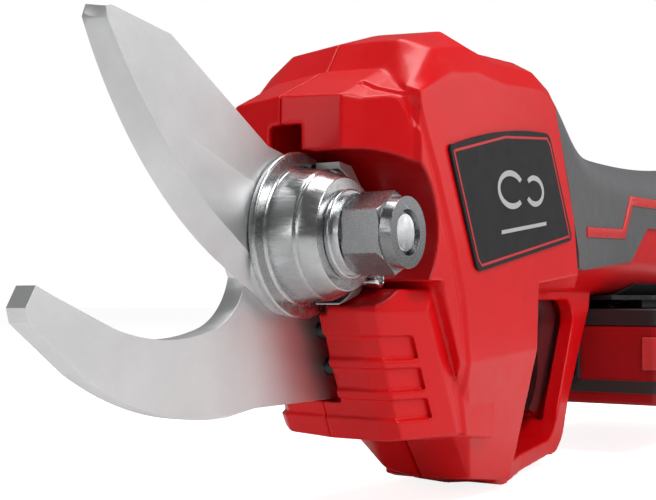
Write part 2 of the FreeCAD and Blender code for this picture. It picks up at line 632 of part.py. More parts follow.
def shell_hollows():
    """Spaces inside the two shells: gearbox and motor bay, keel bay, handle bay and blade slot."""
    low, high = MID - 24.6, MID + 26.4
    motor_bay = prism_xz([(27.0, -14.0), (27.0, 24.0), (33.0, 37.0), (58.0, 43.5), (92.0, 45.0),
                          (100.0, 42.0), (112.0, 31.0), (120.0, 26.0), (122.0, -9.0), (82.0, -9.0)],
                         MID - 19.4, MID + 19.4)
    wide_bay = prism_xz([(30.0, -7.0), (30.0, 24.0), (36.0, 33.0), (90.0, 36.0), (101.5, 8.0), (100.0, -5.0)],
                        low, high)
    keel_bay = prism_xz([(38.0, -20.0), (52.0, -42.0), (62.0, -50.0), (80.0, -54.0), (80.0, -5.0),
                         (38.0, -5.0)], MID - 14.0, MID + 14.0)
    handle_bay = Part.makeLoft([rounded_section(x, w - 2.8, zl + 2.8, zh - 2.8, r - 2.8)
                                for x, w, zl, zh, r in HANDLE_SECTIONS[2:-1]], True, False)
    rear_bay = box((248.0, 276.0), (MID - 15.0, MID + 15.0), (-9.8, 30.0))
    blade_slot = disc(25.8, -3.6, 5.6)
    swing = disc(33.2, -3.6, 6.2).common(box((3.0, 40.0), (-10, 20), (-27.0, 34.0)))
    hook_slot = prism_xz([(-6.0, -12.0), (22.0, -12.0), (22.0, -25.6), (25.6, -29.8), (22.5, -39.0),
                          (-6.0, -39.0)], -3.6, 5.4)
    pinion_way = Part.makeCylinder(19.6, 38.0, V(0, 0, 30.0))
    pinion_way.Placement = at_drive()
    pinion_nose = Part.makeCylinder(8.2, 14.0, V(0, 0, 21.5))
    pinion_nose.Placement = at_drive()
    return [motor_bay, wide_bay, keel_bay, handle_bay, rear_bay, blade_slot, swing, hook_slot,
            pinion_way, pinion_nose]


def make_shells(whole):
    """Near (left) and far (right) housing shells, split at the middle plane."""
    hollows = shell_hollows()
    gap = size("part_gap")
    near_side = box((-20, 300), (-60, MID - gap), (-90, 80))
    far_side = box((-20, 300), (MID + gap, 60), (-90, 80))
    recess = disc(size("recess_radius"), -40, -3.3, size("recess_x"), size("recess_up"))
    flange_way = disc(size("flange_radius") + 0.7, -6.2, -3.3)
    head_recess = disc(14.0, 5.4, 60)
    half = size("trigger_width") / 2 + 0.8
    post_slot = prism_xz([(136.0, -15.0), (128.0, -54.0), (142.8, -53.0), (152.6, -36.0), (163.0, -19.0),
                          (158.0, -10.0)], MID - half, MID + half)
    trigger_way = box((114.0, 158.0), (MID - half, MID + half), (-22.0, 4.0))
    spring_way = disc(SPRING_ROOM, MID, MID + 12.0, *TRIGGER_PIN)
    battery_way = box((172.0, 290.0), (MID - 60, MID + 60), (-20.0, -12.8))
    near = whole.common(near_side)
    far = whole.common(far_side)
    for tool in hollows + [post_slot, trigger_way, battery_way]:
        near = near.cut(tool)
        far = far.cut(tool)
    near = near.cut(recess).cut(flange_way)
    far = far.cut(head_recess).cut(spring_way)
    ledges = chin_ledges()
    near = near.cut(ledges)
    far = far.cut(ledges)
    for x, z in SCREW_SPOTS:
        head = screw_head_level(x)
        near = near.fuse(disc(BOSS_RADIUS, MID - 40, MID - gap, x, z).common(whole))
        far = far.fuse(disc(BOSS_RADIUS, MID + gap, MID + 40, x, z).common(whole))
        near = near.cut(disc(SCREW_RADIUS + 0.05, MID - 12, 60, x, z))
        far = far.cut(disc(SCREW_RADIUS + 0.05, 0, 60, x, z))
        far = far.cut(disc(SCREW_HEAD_RADIUS + 0.4, head, 60, x, z))
    for x, z in HOOK_SCREWS:
        near = near.cut(disc(2.0, -13.0, 10, x, z))
        far = far.cut(disc(4.0, 0, 8.4, x, z))
    pin = disc(size("pin_radius"), MID - 12, MID + 12, *TRIGGER_PIN)
    button = Part.makeCylinder(BUTTON_RADIUS + 1.0, 20.0, V(0, 0, -12.0))
    button.Placement = BUTTON_PLACE
    near = near.cut(pin).cut(button)
    far = far.cut(pin).cut(button)
    return near, far


def chin_ledges():
    """Three bands across the chin that are set back a little from its surface."""
    core = chin_volume(0.9)
    bands = [box((-10.0, 31.0 + 0.25 * (-low)), (MID - 24.0, MID + 24.0), (low, high)).cut(core)
             for low, high in LEDGES]
    return Part.makeCompound(bands)


LEDGES = ((-28.4, -22.8), (-35.9, -30.4), (-42.9, -37.8))
SCREW_SPOTS = [(38.0, 34.0), (98.0, 34.0), (62.0, -40.0), (39.5, -39.5), (143.0, 22.0), (205.0, 22.0),
               (262.0, 24.0)]
BOSS_RADIUS = 4.4
SCREW_RADIUS, SCREW_HEAD_RADIUS = 1.65, 3.3
SPRING_ROOM = 4.4


def screw_head_level(x):
    """Y of the seat under a housing screw's head."""
    return 22.0 if x < 110 else 14.0


def make_fasteners():
    """Housing screws, hook screws, and the plate and screw that lock the clamping hub."""
    screws = []
    for x, z in SCREW_SPOTS:
        seat = screw_head_level(x)
        head = disc(SCREW_HEAD_RADIUS, seat, seat + 2.4, x, z)
        recess = prism_xz([(x + 1.5 * math.cos(math.radians(60 * i)), z + 1.5 * math.sin(math.radians(60 * i)))
                           for i in range(6)], seat + 1.0, seat + 3.0)
        screws.append(head.fuse(disc(SCREW_RADIUS, MID - 11.5, seat, x, z)).cut(recess))
    solid("housing_screws", Part.makeCompound(screws))
    screws = []
    seat = size("hook_thick") + size("slide_gap")
    for x, z in HOOK_SCREWS:
        head = disc(3.6, seat, seat + 2.6, x, z)
        recess = prism_xz([(x + 1.8 * math.cos(math.radians(60 * i)), z + 1.8 * math.sin(math.radians(60 * i)))
                           for i in range(6)], seat + 1.1, seat + 3.0)
        screws.append(head.fuse(disc(1.98, -12.8, seat, x, z)).cut(recess))
    solid("hook_screws", Part.makeCompound(screws))
    plate = prism_xz([(4.0, 16.9), (9.4, 16.4), (15.2, 10.6), (19.4, 6.0), (21.0, 0.0), (19.6, -6.0),
                      (16.6, -10.4), (12.4, -13.4), (6.8, -15.0), (4.0, -15.6)], -11.8, -5.4)
    plate = plate.cut(disc(size("boss_radius") + 0.5, -20, 0))
    solid("locking_plate", plate)
    x, z = LOCK_SCREW
    head = disc(2.0, -16.8, -11.8, x, z).cut(disc(1.0, -18, -15.4, x, z))
    head = head.makeChamfer(0.4, [e for e in head.Edges if abs(e.BoundBox.YMax + 16.8) < 0.01 and
                                  abs(e.BoundBox.YMin + 16.8) < 0.01 and e.BoundBox.XLength > 3][:1])
    solid("locking_screw", head)


LOCK_SCREW = (14.5, -9.8)


# ================================================================ handle furniture
def side_part(shape, side):
    """Half of a shape on one side of the middle plane: -1 near, +1 far."""
    gap = size("part_gap")
    if side < 0:
        return shape.common(box((-80, 300), (-70, MID - gap), (-90, 90)))
    return shape.common(box((-80, 300), (MID + gap, 70), (-90, 90)))


GRIP_OUTLINE = [(96.0, 56.0), (102.6, 44.0), (118.5, 19.7), (131.0, -2.0), (134.0, -4.6), (140.0, -5.0),
                (186.0, -1.0), (204.0, 11.5), (240.0, 12.4), (281.0, 13.0), (281.0, 56.0)]
INLAY_OUTLINE = [(138.0, 5.4), (178.0, 6.6), (186.0, 18.6), (276.0, 20.4), (276.0, 23.6), (184.0, 21.8),
                 (176.0, 9.8), (138.0, 8.6)]


def make_grips(whole):
    """Soft grip skins with their coloured inlays, and the plates on the flanks."""
    thick = size("grip_thick")
    skin = handle_volume(thick).cut(whole).common(prism_xz(GRIP_OUTLINE, -60, 60))
    band = prism_xz(INLAY_OUTLINE, -60, 60)
    button = Part.makeCylinder(BUTTON_RADIUS + 2.6, 20.0, V(0, 0, -12.0))
    button.Placement = BUTTON_PLACE
    far_screws = Part.makeCompound([disc(3.9, 10, 60, x, z) for x, z in SCREW_SPOTS])
    inlay = handle_volume(thick + 0.5).cut(whole).common(band)
    for label, side in (("left", -1), ("right", 1)):
        grip = side_part(skin, side).cut(band).cut(button).cut(far_screws)
        biggest = sorted(grip.Solids, key=lambda one: one.Volume)
        solid("grip_" + label, Part.makeCompound([one for one in biggest if one.Volume > 20.0]))
        strip = side_part(inlay, side).cut(far_screws)
        solid("grip_inlay_" + label, Part.makeCompound([one for one in strip.Solids if one.Volume > 2.0]))
    outline_points = [(28.6, 22.2), (57.0, 28.6, "mid"), (84.4, 31.3), (86.6, 30.6, "mid"), (88.0, 29.0),
                      (102.4, 5.2), (102.9, 3.6, "mid"), (101.4, 2.4), (43.6, -7.4), (41.6, -6.9, "mid"),
                      (40.2, -5.2), (27.0, 20.2), (27.0, 21.8, "mid")]
    thin = size("plate_thick")
    flank = 27.6 + MID
    solid("side_plate_left", prism_xz(outline_points, MID - flank - thin, MID - flank))
    solid("side_plate_right", prism_xz(outline_points, MID + flank, MID + flank + thin))


TRIGGER_PIN = (126.0, -4.0)
BUTTON_RADIUS = 5.2
BUTTON_PLACE = FreeCAD.Placement(V(122.0, MID, 44.4), FreeCAD.Rotation(V(0, 1, 0), 31.0))
BUTTON_TRAVEL = 1.0


def make_controls():
    """Trigger with pin, spring and sensor, the power button with its collar, and the board."""
    body = new_body("trigger")
    half = size("trigger_width") / 2
    plan = sketch(body, "XZ_Plane", "trigger_profile", half - MID)
    outline(plan, [(120.0, 0.5), (117.5, -18.4), (126.0, -20.4), (133.2, -25.4, "mid"), (135.6, -34.0),
                   (133.6, -43.0, "mid"), (128.6, -49.0), (133.2, -50.8), (140.0, -45.5, "mid"),
                   (145.0, -36.0), (150.0, -24.5, "mid"), (149.8, -17.5), (146.0, -8.0), (138.0, -1.0),
                   (132.0, 0.5)])
    pad(body, plan, "sheet.trigger_width", True)
    bore = sketch(body, "XZ_Plane", "pin_bore", half - MID)
    circle(bore, TRIGGER_PIN[0], TRIGGER_PIN[1], "sheet.pin_radius + sheet.running_gap")
    pocket(body, bore, "sheet.trigger_width")
    x, z = TRIGGER_PIN
    solid("trigger_pin", disc(size("pin_radius"), MID - 12, MID + 12, x, z))
    helix = Part.makeHelix(1.15, 3.4, 2.9)
    section = Part.Wire([Part.Circle(V(2.9, 0, 0), V(0, 1, 0), 0.45).toShape()])
    coil = Part.Wire(helix).makePipeShell([section], True, True)
    spring_place = FreeCAD.Placement(V(x, MID + half + 0.7, z), FreeCAD.Rotation(V(1, 0, 0), -90))
    solid("trigger_spring", coil, spring_place)
    sensor = box((141.0, 149.0), (MID + half + 0.8, MID + half + 3.0), (-8.0, -1.0))
    solid("trigger_sensor", sensor)
    board = box((150.0, 240.0), (MID + 4.0, MID + 5.6), (-6.0, 14.0))
    solid("control_board", board)
    chips = [box((158.0 + 11.0 * i, 164.0 + 11.0 * i), (MID + 1.9, MID + 4.0), (-3.0, 3.0)) for i in range(6)]
    for i in range(3):
        chips.append(Part.makeCylinder(4.0, 12.0, V(168.0 + 22.0 * i, MID - 0.2, 8.6), V(1, 0, 0)))
    solid("board_parts", Part.makeCompound(chips))
    outer = BUTTON_RADIUS + 0.95
    collar = Part.makeCylinder(outer, 3.4, V(0, 0, -2.8)).cut(Part.makeCylinder(outer - 0.8, 9, V(0, 0, -5)))
    solid("button_collar", collar, BUTTON_PLACE)
    knob = Part.makeCylinder(BUTTON_RADIUS - 0.1, 5.4, V(0, 0, -4.0))
    knob = knob.makeFillet(0.7, [e for e in knob.Edges if abs(e.BoundBox.ZMin - 1.4) < 0.01])
    solid("power_button", knob, BUTTON_PLACE)
    block = Part.makeBox(8.4, 8.4, 6.7, V(-4.2, -4.2, -12.0))
    solid("switch_block", block, BUTTON_PLACE)


# ================================================================ battery
def make_battery():
    """Slide-on battery: two cases, band, cells, rails, contacts, pads and release button."""
    front, length = size("battery_front"), size("battery_length")
    rear = front + length
    half = size("battery_width") / 2
    base = size("battery_bottom")
    split, deck = -23.2, -17.6
    body = new_body("battery_lower_case")
    plan = sketch(body, "XY_Plane", "case_plan", base)
    outline(plan, case_points(front, rear, half, 7.0))
    pad(body, plan, "%.3f" % (split - base))
    hollow = sketch(body, "XY_Plane", "case_hollow", base + 2.4)
    outline(hollow, case_points(front + 2.4, rear - 2.4, half - 2.4, 4.6))
    pocket(body, hollow, "%.3f" % (split - base), True)
    window = sketch(body, "YZ_Plane", "button_window", front - 1)
    outline(window, [(MID - 5.9, -40.4), (MID + 5.9, -40.4), (MID + 5.9, -27.6), (MID - 5.9, -27.6)])
    pocket(body, window, "6", True)
    doc.recompute()
    edges = [name for name, edge in edges_at(body.Shape, base)]
    fillet = body.newObject("PartDesign::Chamfer", "base_chamfer")
    fillet.Base = (body.Tip, edges)
    fillet.Size = 2.2
    body.Tip = fillet
    upper = Part.Face(case_wire(front, rear, half, 7.0, split)).extrude(V(0, 0, deck - split))
    inside = Part.Face(case_wire(front + 2.4, rear - 2.4, half - 2.4, 4.6, split)).extrude(
        V(0, 0, deck - split - 2.0))
    upper = upper.cut(inside)
    rail_from = 190.0
    neck = box((rail_from, rear), (MID - 10.5, MID + 10.5), (deck - 0.5, -16.0))
    head = box((rail_from, rear), (MID - 13.5, MID + 13.5), (-16.0, -14.9))
    upper = upper.fuse(neck).fuse(head)
    for side in (-6.0, 0.0, 6.0):
        upper = upper.cut(box((rail_from - 1, 218.0), (MID + side - 1.1, MID + side + 1.1), (-17.2, -14.0)))
    solid("battery_upper_case", upper.removeSplitter())
    band = Part.Face(case_wire(front - 0.5, rear + 0.5, half + 0.5, 7.5, -46.0)).extrude(V(0, 0, 4.2))
    band = band.cut(Part.Face(case_wire(front, rear, half, 7.0, -47.0)).extrude(V(0, 0, 8.0)))
    solid("battery_band", band)
    cells = []
    radius, cell = size("cell_radius"), size("cell_length")
    for i in range(5):
        x = front + 18.0 + 19.2 * i
        body_cell = disc(radius, MID - cell / 2, MID + cell / 2, x, -36.2)
        cells.append(body_cell)
    solid("battery_cells", Part.makeCompound(cells))
    tongues = [box((196.0, 214.0), (MID + side - 0.4, MID + side + 0.4), (-17.0, -13.6)) for side in (-6, 0, 6)]
    solid("tool_terminals", Part.makeCompound(tongues))
    pads = []
    for side in (-1, 1):
        outer = box((front - 0.8, front + 40.0), (-60.0, 60.0), (-38.0, -27.0))
        shell = Part.Face(case_wire(front - 0.8, rear, half + 0.8, 7.8, -38.0)).extrude(V(0, 0, 11.0))
        inner = Part.Face(case_wire(front, rear, half, 7.0, -39.0)).extrude(V(0, 0, 14.0))
        strip = shell.cut(inner).common(outer)
        far = MID + side * (half - 10.0)
        strip = strip.common(box((0, 400), (min(far, side * 90), max(far, side * 90)), (-60, 0)))
        pads.append(strip)
    solid("battery_pad_left", pads[0])
    solid("battery_pad_right", pads[1])
    knob = box((front - 3.0, front + 1.6), (MID - 5.5, MID + 5.5), (-40.0, -28.0))
    knob = knob.makeFillet(0.9, [e for e in knob.Edges if e.BoundBox.XMin < front - 2.9])
    frame = box((front - 1.6, front), (MID - 7.4, MID + 7.4), (-41.6, -26.4))
    frame = frame.cut(box((front - 5, front + 1), (MID - 5.9, MID + 5.9), (-40.4, -27.6)))
    solid("release_frame", frame)
    solid("release_button", knob)


def case_points(front, rear, half, corner):
    """Corner points of the battery's outline seen from above: straight runs and arc middles."""
    bow = corner * (1 - math.sqrt(0.5))
    low, high = MID - half, MID + half
    return [(front + corner, low), (rear - corner, low), (rear - bow, low + bow, "mid"), (rear, low + corner),
            (rear, high - corner), (rear - bow, high - bow, "mid"), (rear - corner, high),
            (front + corner, high), (front + bow, high - bow, "mid"), (front, high - corner),
            (front, low + corner), (front + bow, low + bow, "mid")]


def case_wire(front, rear, half, corner, z):
    """The same outline as a wire at one height."""
    edges = []
    points = case_points(front, rear, half, corner)
    here = V(points[0][0], points[0][1], z)
    mid = None
    for item in points[1:] + points[:1]:
        there = V(item[0], item[1], z)
        if len(item) == 3:
            mid = there
            continue
        edges.append((Part.Arc(here, mid, there) if mid else Part.LineSegment(here, there)).toShape())
        mid = None
        here = there
    return Part.Wire(edges)


def edges_at(shape, z):
    """Names of the edges that lie in the plane of this height."""
    return [("Edge%d" % i, e) for i, e in enumerate(shape.Edges, start=1)
            if abs(e.BoundBox.ZMin - z) < 0.001 and abs(e.BoundBox.ZMax - z) < 0.001]


def make_shoe(whole):
    """Black foot under the handle with the two rails that the battery slides on."""
    skin = handle_volume(1.5).cut(whole).common(
        prism_xz([(184.0, -16.0), (200.0, -8.5), (281.0, -8.0), (281.0, -16.0)], -60, 60))
    skin = skin.common(box((150, 300), (-60, 60), (-12.8, 0)))
    plate = prism_xy([(182.0, MID - 14.0), (196.0, MID - 24.0), (284.0, MID - 24.0), (284.0, MID + 24.0),
                      (196.0, MID + 24.0), (182.0, MID + 14.0)], -14.4, -12.8)
    foot = plate.fuse(skin)
    for side in (-1, 1):
        walls = sorted((MID + side * 14.0, MID + side * 19.0))
        lips = sorted((MID + side * 11.0, MID + side * 19.0))
        foot = foot.fuse(box((200.0, 284.0), walls, (-17.0, -14.4)))
        foot = foot.fuse(box((200.0, 284.0), lips, (-17.2, -16.5)))
    for side in (-6, 0, 6):
        foot = foot.cut(box((196.0, 214.0), (MID + side - 0.4, MID + side + 0.4), (-20.0, -10.0)))
    solid("battery_shoe", foot.removeSplitter())


def main():
    make_cutting_blade()
    make_hook_blade()
    make_pivot()
    make_rivets()
    make_gear_sector()
    make_pinion()
    make_planetary()
    motor_from = make_gearbox()
    make_motor(motor_from)
    whole = outer_volume()
    near, far = make_shells(whole)
    solid("left_housing", near)
    solid("right_housing", far)
    make_fasteners()
    make_grips(whole)
    make_controls()
    make_shoe(whole)
    make_battery()


main()
doc.recompute()
os.makedirs("parts", exist_ok=True)
for label, obj in NODES.items():
    if "Invalid" in obj.State or "Error" in obj.State:
        raise RuntimeError("failed: " + label)
    if obj.Shape.isNull() or not obj.Shape.isValid():
        raise RuntimeError("bad shape: " + label)
    print("%-20s %9.1f mm3 %d solids" % (label, obj.Shape.Volume, len(obj.Shape.Solids)))
    obj.Shape.exportStep("parts/%s.step" % label)
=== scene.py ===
import json
import math

import bmesh
import bpy
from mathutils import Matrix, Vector


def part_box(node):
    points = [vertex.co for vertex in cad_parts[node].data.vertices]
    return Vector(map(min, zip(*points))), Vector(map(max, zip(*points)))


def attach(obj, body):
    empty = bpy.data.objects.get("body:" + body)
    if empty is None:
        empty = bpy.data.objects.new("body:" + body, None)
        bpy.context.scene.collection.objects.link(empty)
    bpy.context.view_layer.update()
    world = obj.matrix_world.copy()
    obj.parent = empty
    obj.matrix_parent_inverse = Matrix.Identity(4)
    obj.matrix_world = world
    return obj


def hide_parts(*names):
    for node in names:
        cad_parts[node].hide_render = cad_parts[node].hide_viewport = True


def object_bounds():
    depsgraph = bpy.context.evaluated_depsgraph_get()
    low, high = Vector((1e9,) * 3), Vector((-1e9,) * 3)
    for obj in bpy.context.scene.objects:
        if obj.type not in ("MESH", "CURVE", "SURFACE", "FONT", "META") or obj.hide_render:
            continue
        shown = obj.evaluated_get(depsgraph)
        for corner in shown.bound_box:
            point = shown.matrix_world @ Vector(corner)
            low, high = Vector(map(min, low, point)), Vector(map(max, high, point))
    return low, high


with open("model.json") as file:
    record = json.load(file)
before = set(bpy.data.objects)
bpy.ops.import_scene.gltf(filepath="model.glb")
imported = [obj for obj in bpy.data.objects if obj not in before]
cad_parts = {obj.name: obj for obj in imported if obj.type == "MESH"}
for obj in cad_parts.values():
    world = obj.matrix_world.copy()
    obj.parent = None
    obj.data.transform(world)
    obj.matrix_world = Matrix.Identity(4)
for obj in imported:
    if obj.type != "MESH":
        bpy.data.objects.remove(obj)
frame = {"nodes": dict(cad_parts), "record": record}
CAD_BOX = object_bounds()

NODES = frame["nodes"]
MM = 0.001

# The middle plane of the casing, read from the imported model
MID = (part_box("battery_band")[0].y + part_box("battery_band")[1].y) / 2


# ================================================================ node helpers
class Nodes:
    """Small helper that builds a material's node tree."""

    def __init__(self, name):
        self.material = bpy.data.materials.new(name)
        self.material.use_nodes = True
        self.tree = self.material.node_tree
        self.shader = self.tree.nodes["Principled BSDF"]
        self.place = self.add("ShaderNodeTexCoord").outputs["Object"]

    def add(self, kind, **settings):
        node = self.tree.nodes.new(kind)
        for name, value in settings.items():
            setattr(node, name, value)
        return node

    def link(self, source, target):
        self.tree.links.new(source, target)

    def put(self, name, value):
        self.shader.inputs[name].default_value = value

    def noise(self, scale, detail=4.0, rough=0.55, stretch=None):
        """Noise over the object, with its cells stretched by a factor per axis."""
        node = self.add("ShaderNodeTexNoise")
        node.inputs["Scale"].default_value = scale
        node.inputs["Detail"].default_value = detail
        node.inputs["Roughness"].default_value = rough
        place = self.place
        if stretch:
            mapping = self.add("ShaderNodeMapping")
            mapping.inputs["Scale"].default_value = stretch
            self.link(place, mapping.inputs["Vector"])
            place = mapping.outputs["Vector"]
        self.link(place, node.inputs["Vector"])
        return node.outputs["Fac"]

    def spread(self, source, low, high, to_low, to_high):
        """Maps one range to another."""
        node = self.add("ShaderNodeMapRange")
        for name, value in zip(("From Min", "From Max", "To Min", "To Max"), (low, high, to_low, to_high)):
            node.inputs[name].default_value = value
        self.link(source, node.inputs["Value"])
        return node.outputs["Result"]

    def blend(self, share, first, second):
        """Mixes two colours, or a linked colour and a colour, by a share."""
        node = self.add("ShaderNodeMix", data_type="RGBA")
        for socket, value in ((node.inputs[6], first), (node.inputs[7], second)):
            if isinstance(value, tuple):
                socket.default_value = value + (1.0,)
            else:
                self.link(value, socket)
        if isinstance(share, float):
            node.inputs[0].default_value = share
        else:
            self.link(share, node.inputs[0])
        return node.outputs[2]

    def bump(self, height, depth, strength=1.0, under=None):
        node = self.add("ShaderNodeBump")
        node.inputs["Strength"].default_value = strength
        node.inputs["Distance"].default_value = depth
        self.link(height, node.inputs["Height"])
        if under is not None:
            self.link(under, node.inputs["Normal"])
        return node.outputs["Normal"]

    def edges(self, low=0.54, high=0.62):
        """Share of wear, and of a painted highlight on steel with a high edge factor: high on the outer edges
        of the mesh.
        """
        point = self.add("ShaderNodeNewGeometry").outputs["Pointiness"]
        return self.spread(point, low, high, 0.0, 1.0)


def shade(colour, factor):
    return tuple(min(1.0, c * factor) for c in colour)


def plastic(name, colour, rough=0.32, coat=0.0, grain=0.00003, grain_scale=9000.0, wear=0.25, specular=0.5):
    """Moulded plastic: slow colour drift, fine texture, and edges rubbed paler."""
    n = Nodes(name)
    drift = n.noise(38.0, 3.0)
    base = n.blend(drift, shade(colour, 0.90), shade(colour, 1.10))
    dust = n.spread(n.noise(420.0, 6.0, 0.7), 0.60, 0.78, 0.0, 0.05)
    base = n.blend(dust, base, shade(tuple(c + 0.05 for c in colour), 1.6))
    rubbed = n.tree.nodes.new("ShaderNodeMath")
    rubbed.operation = "MULTIPLY"
    n.link(n.edges(), rubbed.inputs[0])
    n.link(n.spread(n.noise(260.0, 5.0), 0.42, 0.68, 0.0, wear), rubbed.inputs[1])
    base = n.blend(rubbed.outputs[0], base, shade(tuple(c + 0.06 for c in colour), 1.5))
    n.link(base, n.shader.inputs["Base Color"])
    n.link(n.spread(n.noise(150.0, 6.0, 0.65), 0.3, 0.7, rough - 0.05, rough + 0.07),
           n.shader.inputs["Roughness"])
    n.link(n.bump(n.noise(grain_scale, 2.0), grain), n.shader.inputs["Normal"])
    n.put("Coat Weight", coat)
    n.put("Coat Roughness", 0.12)
    n.put("Specular IOR Level", specular)
    return n.material


def steel(name, colour, rough=0.22, streak=(1.0, 1.0, 1.0), streak_scale=900.0, streak_depth=0.000004,
          stain=0.12, edge=1.12):
    """Machined or ground steel: fine streaks, soft stains, and brighter edges, rubbed wear at the usual edge
    factor and a painted highlight at a high one.
    """
    n = Nodes(name)
    lines = n.noise(streak_scale, 3.0, 0.6, streak)
    soft = n.noise(60.0, 4.0, 0.6)
    base = n.blend(n.spread(soft, 0.35, 0.7, 0.0, 1.0), shade(colour, 1.0 - stain), shade(colour, 1.04))
    base = n.blend(n.spread(lines, 0.35, 0.65, 0.0, 0.35), base, shade(colour, 0.86))
    # Edges painted brighter: rubbed wear, and at a high edge factor a painted highlight.
    base = n.blend(n.edges(), base, shade(colour, edge))
    n.link(base, n.shader.inputs["Base Color"])
    n.put("Metallic", 1.0)
    n.link(n.spread(lines, 0.3, 0.7, rough - 0.05, rough + 0.08), n.shader.inputs["Roughness"])
    n.link(n.bump(lines, streak_depth), n.shader.inputs["Normal"])
    return n.material


def rubber(name, colour, rough=0.62):
    """Soft grip: stippled surface with dusty patches."""
    n = Nodes(name)
    base = n.blend(n.noise(45.0, 4.0), shade(colour, 0.88), shade(colour, 1.12))
    dust = n.spread(n.noise(700.0, 5.0, 0.7), 0.55, 0.8, 0.0, 0.25)
    base = n.blend(dust, base, shade(colour, 1.5))
    n.link(base, n.shader.inputs["Base Color"])
    n.link(n.spread(n.noise(200.0, 4.0), 0.3, 0.7, rough - 0.08, rough + 0.08), n.shader.inputs["Roughness"])
    cells = n.add("ShaderNodeTexVoronoi")
    cells.inputs["Scale"].default_value = 1500.0
    n.link(n.place, cells.inputs["Vector"])
    n.link(n.bump(cells.outputs["Distance"], 0.00012, 0.6), n.shader.inputs["Normal"])
    n.put("Sheen Weight", 0.15)
    n.put("Sheen Roughness", 0.5)
    return n.material


def painted_recess_shade(material, centre, radius):
    """Darkens a material inside a round recess along Y: a painted shade where the recess lies in shadow."""
    tree = material.node_tree
    shader = tree.nodes["Principled BSDF"]
    place = tree.nodes.new("ShaderNodeTexCoord").outputs["Object"]
    flat = tree.nodes.new("ShaderNodeVectorMath")
    flat.operation = "MULTIPLY"
    flat.inputs[1].default_value = (1.0, 0.0, 1.0)
    gap = tree.nodes.new("ShaderNodeVectorMath")
    gap.operation = "DISTANCE"
    gap.inputs[1].default_value = (centre[0], 0.0, centre[1])
    # Share of painted shade: full inside the recess radius, fading out over 0.9 mm beyond it.
    share = tree.nodes.new("ShaderNodeMapRange")
    for socket, value in zip(("From Min", "From Max", "To Min", "To Max"),
                             (radius, radius + 0.9 * MM, 0.72, 0.0)):
        share.inputs[socket].default_value = value
    mix = tree.nodes.new("ShaderNodeMix")
    mix.data_type = "RGBA"
    # The painted shade's colour: a dark red for the shadowed recess.
    mix.inputs[7].default_value = (0.10, 0.001, 0.002, 1.0)
    tree.links.new(place, flat.inputs[0])
    tree.links.new(flat.outputs["Vector"], gap.inputs[0])
    tree.links.new(gap.outputs["Value"], share.inputs["Value"])
    tree.links.new(share.outputs["Result"], mix.inputs[0])
    tree.links.new(shader.inputs["Base Color"].links[0].from_socket, mix.inputs[6])
    tree.links.new(mix.outputs[2], shader.inputs["Base Color"])


RED = (0.74, 0.002, 0.005)
MATERIALS = {
    "red": plastic("shell_red", RED, rough=0.34, coat=0.12, wear=0.08, specular=0.24),
    "battery_red": plastic("battery_red", (0.36, 0.005, 0.008), rough=0.38, coat=0.10, specular=0.35),
    "pad_red": plastic("pad_red", (0.62, 0.035, 0.035), rough=0.45, grain=0.0001, grain_scale=3200.0),
    "inlay_red": plastic("inlay_red", (0.74, 0.02, 0.02), rough=0.30, coat=0.2),
    "black": plastic("black_plastic", (0.018, 0.018, 0.020), rough=0.42, grain=0.00008, grain_scale=4200.0),
    "gloss_black": plastic("gloss_black", (0.010, 0.010, 0.012), rough=0.12, coat=0.8, wear=0.04),
    "label": plastic("label_foil", (0.012, 0.012, 0.014), rough=0.50, grain=0.00003, grain_scale=5200.0,
                     wear=0.0, specular=0.25),
    "line_red": plastic("line_red", (0.60, 0.012, 0.016), rough=0.35, wear=0.0),
    "mark_grey": plastic("mark_grey", (0.50, 0.50, 0.51), rough=0.35, wear=0.0),
    "grey": plastic("grey_plastic", (0.11, 0.11, 0.115), rough=0.40, grain=0.00008, grain_scale=4200.0),
    "rubber": rubber("grip_rubber", (0.075, 0.077, 0.082)),
    "band": rubber("band_rubber", (0.020, 0.021, 0.022), 0.5),
    "blade": steel("ground_blade", (0.66, 0.665, 0.67), rough=0.44, streak_scale=5200.0,
                   streak_depth=0.0000008, stain=0.10),
    "hook": steel("ground_hook", (0.80, 0.805, 0.81), rough=0.42, streak_scale=5200.0,
                  streak_depth=0.0000008, stain=0.06),
    "turned": steel("turned_steel", (0.72, 0.73, 0.74), rough=0.14, streak=(1.0, 0.02, 1.0),
                    streak_scale=500.0),
    "zinc": steel("zinc_steel", (0.62, 0.63, 0.65), rough=0.22, stain=0.2),
    "hub": steel("satin_hub", (0.52, 0.525, 0.53), rough=0.24, streak=(1.0, 0.02, 1.0), streak_scale=500.0),
    # The nut's high edge factor of 2.6 paints a highlight on its chamfers and edges.
    "nut": steel("satin_nut", (0.27, 0.272, 0.278), rough=0.27, stain=0.15, streak_scale=2600.0,
                 streak_depth=0.000006, edge=2.6),
    "gear": steel("gear_steel", (0.40, 0.40, 0.41), rough=0.28, stain=0.3),
    "cast": steel("cast_alloy", (0.66, 0.665, 0.67), rough=0.38, streak_scale=2400.0, streak_depth=0.00003),
    "bronze": steel("bronze", (0.62, 0.42, 0.18), rough=0.34, stain=0.3),
    "copper": steel("copper", (0.72, 0.36, 0.20), rough=0.26, streak=(0.1, 1.0, 1.0)),
    "black_metal": steel("black_oxide", (0.07, 0.07, 0.075), rough=0.38, stain=0.3),
    "board": plastic("board_green", (0.015, 0.13, 0.06), rough=0.30, coat=0.3),
    "cell": plastic("cell_sleeve", (0.04, 0.18, 0.40), rough=0.28, coat=0.3),
}

# Painted shade inside the round recess round the hub.
painted_recess_shade(MATERIALS["red"], (4.3 * MM, 1.6 * MM), 17.5 * MM)

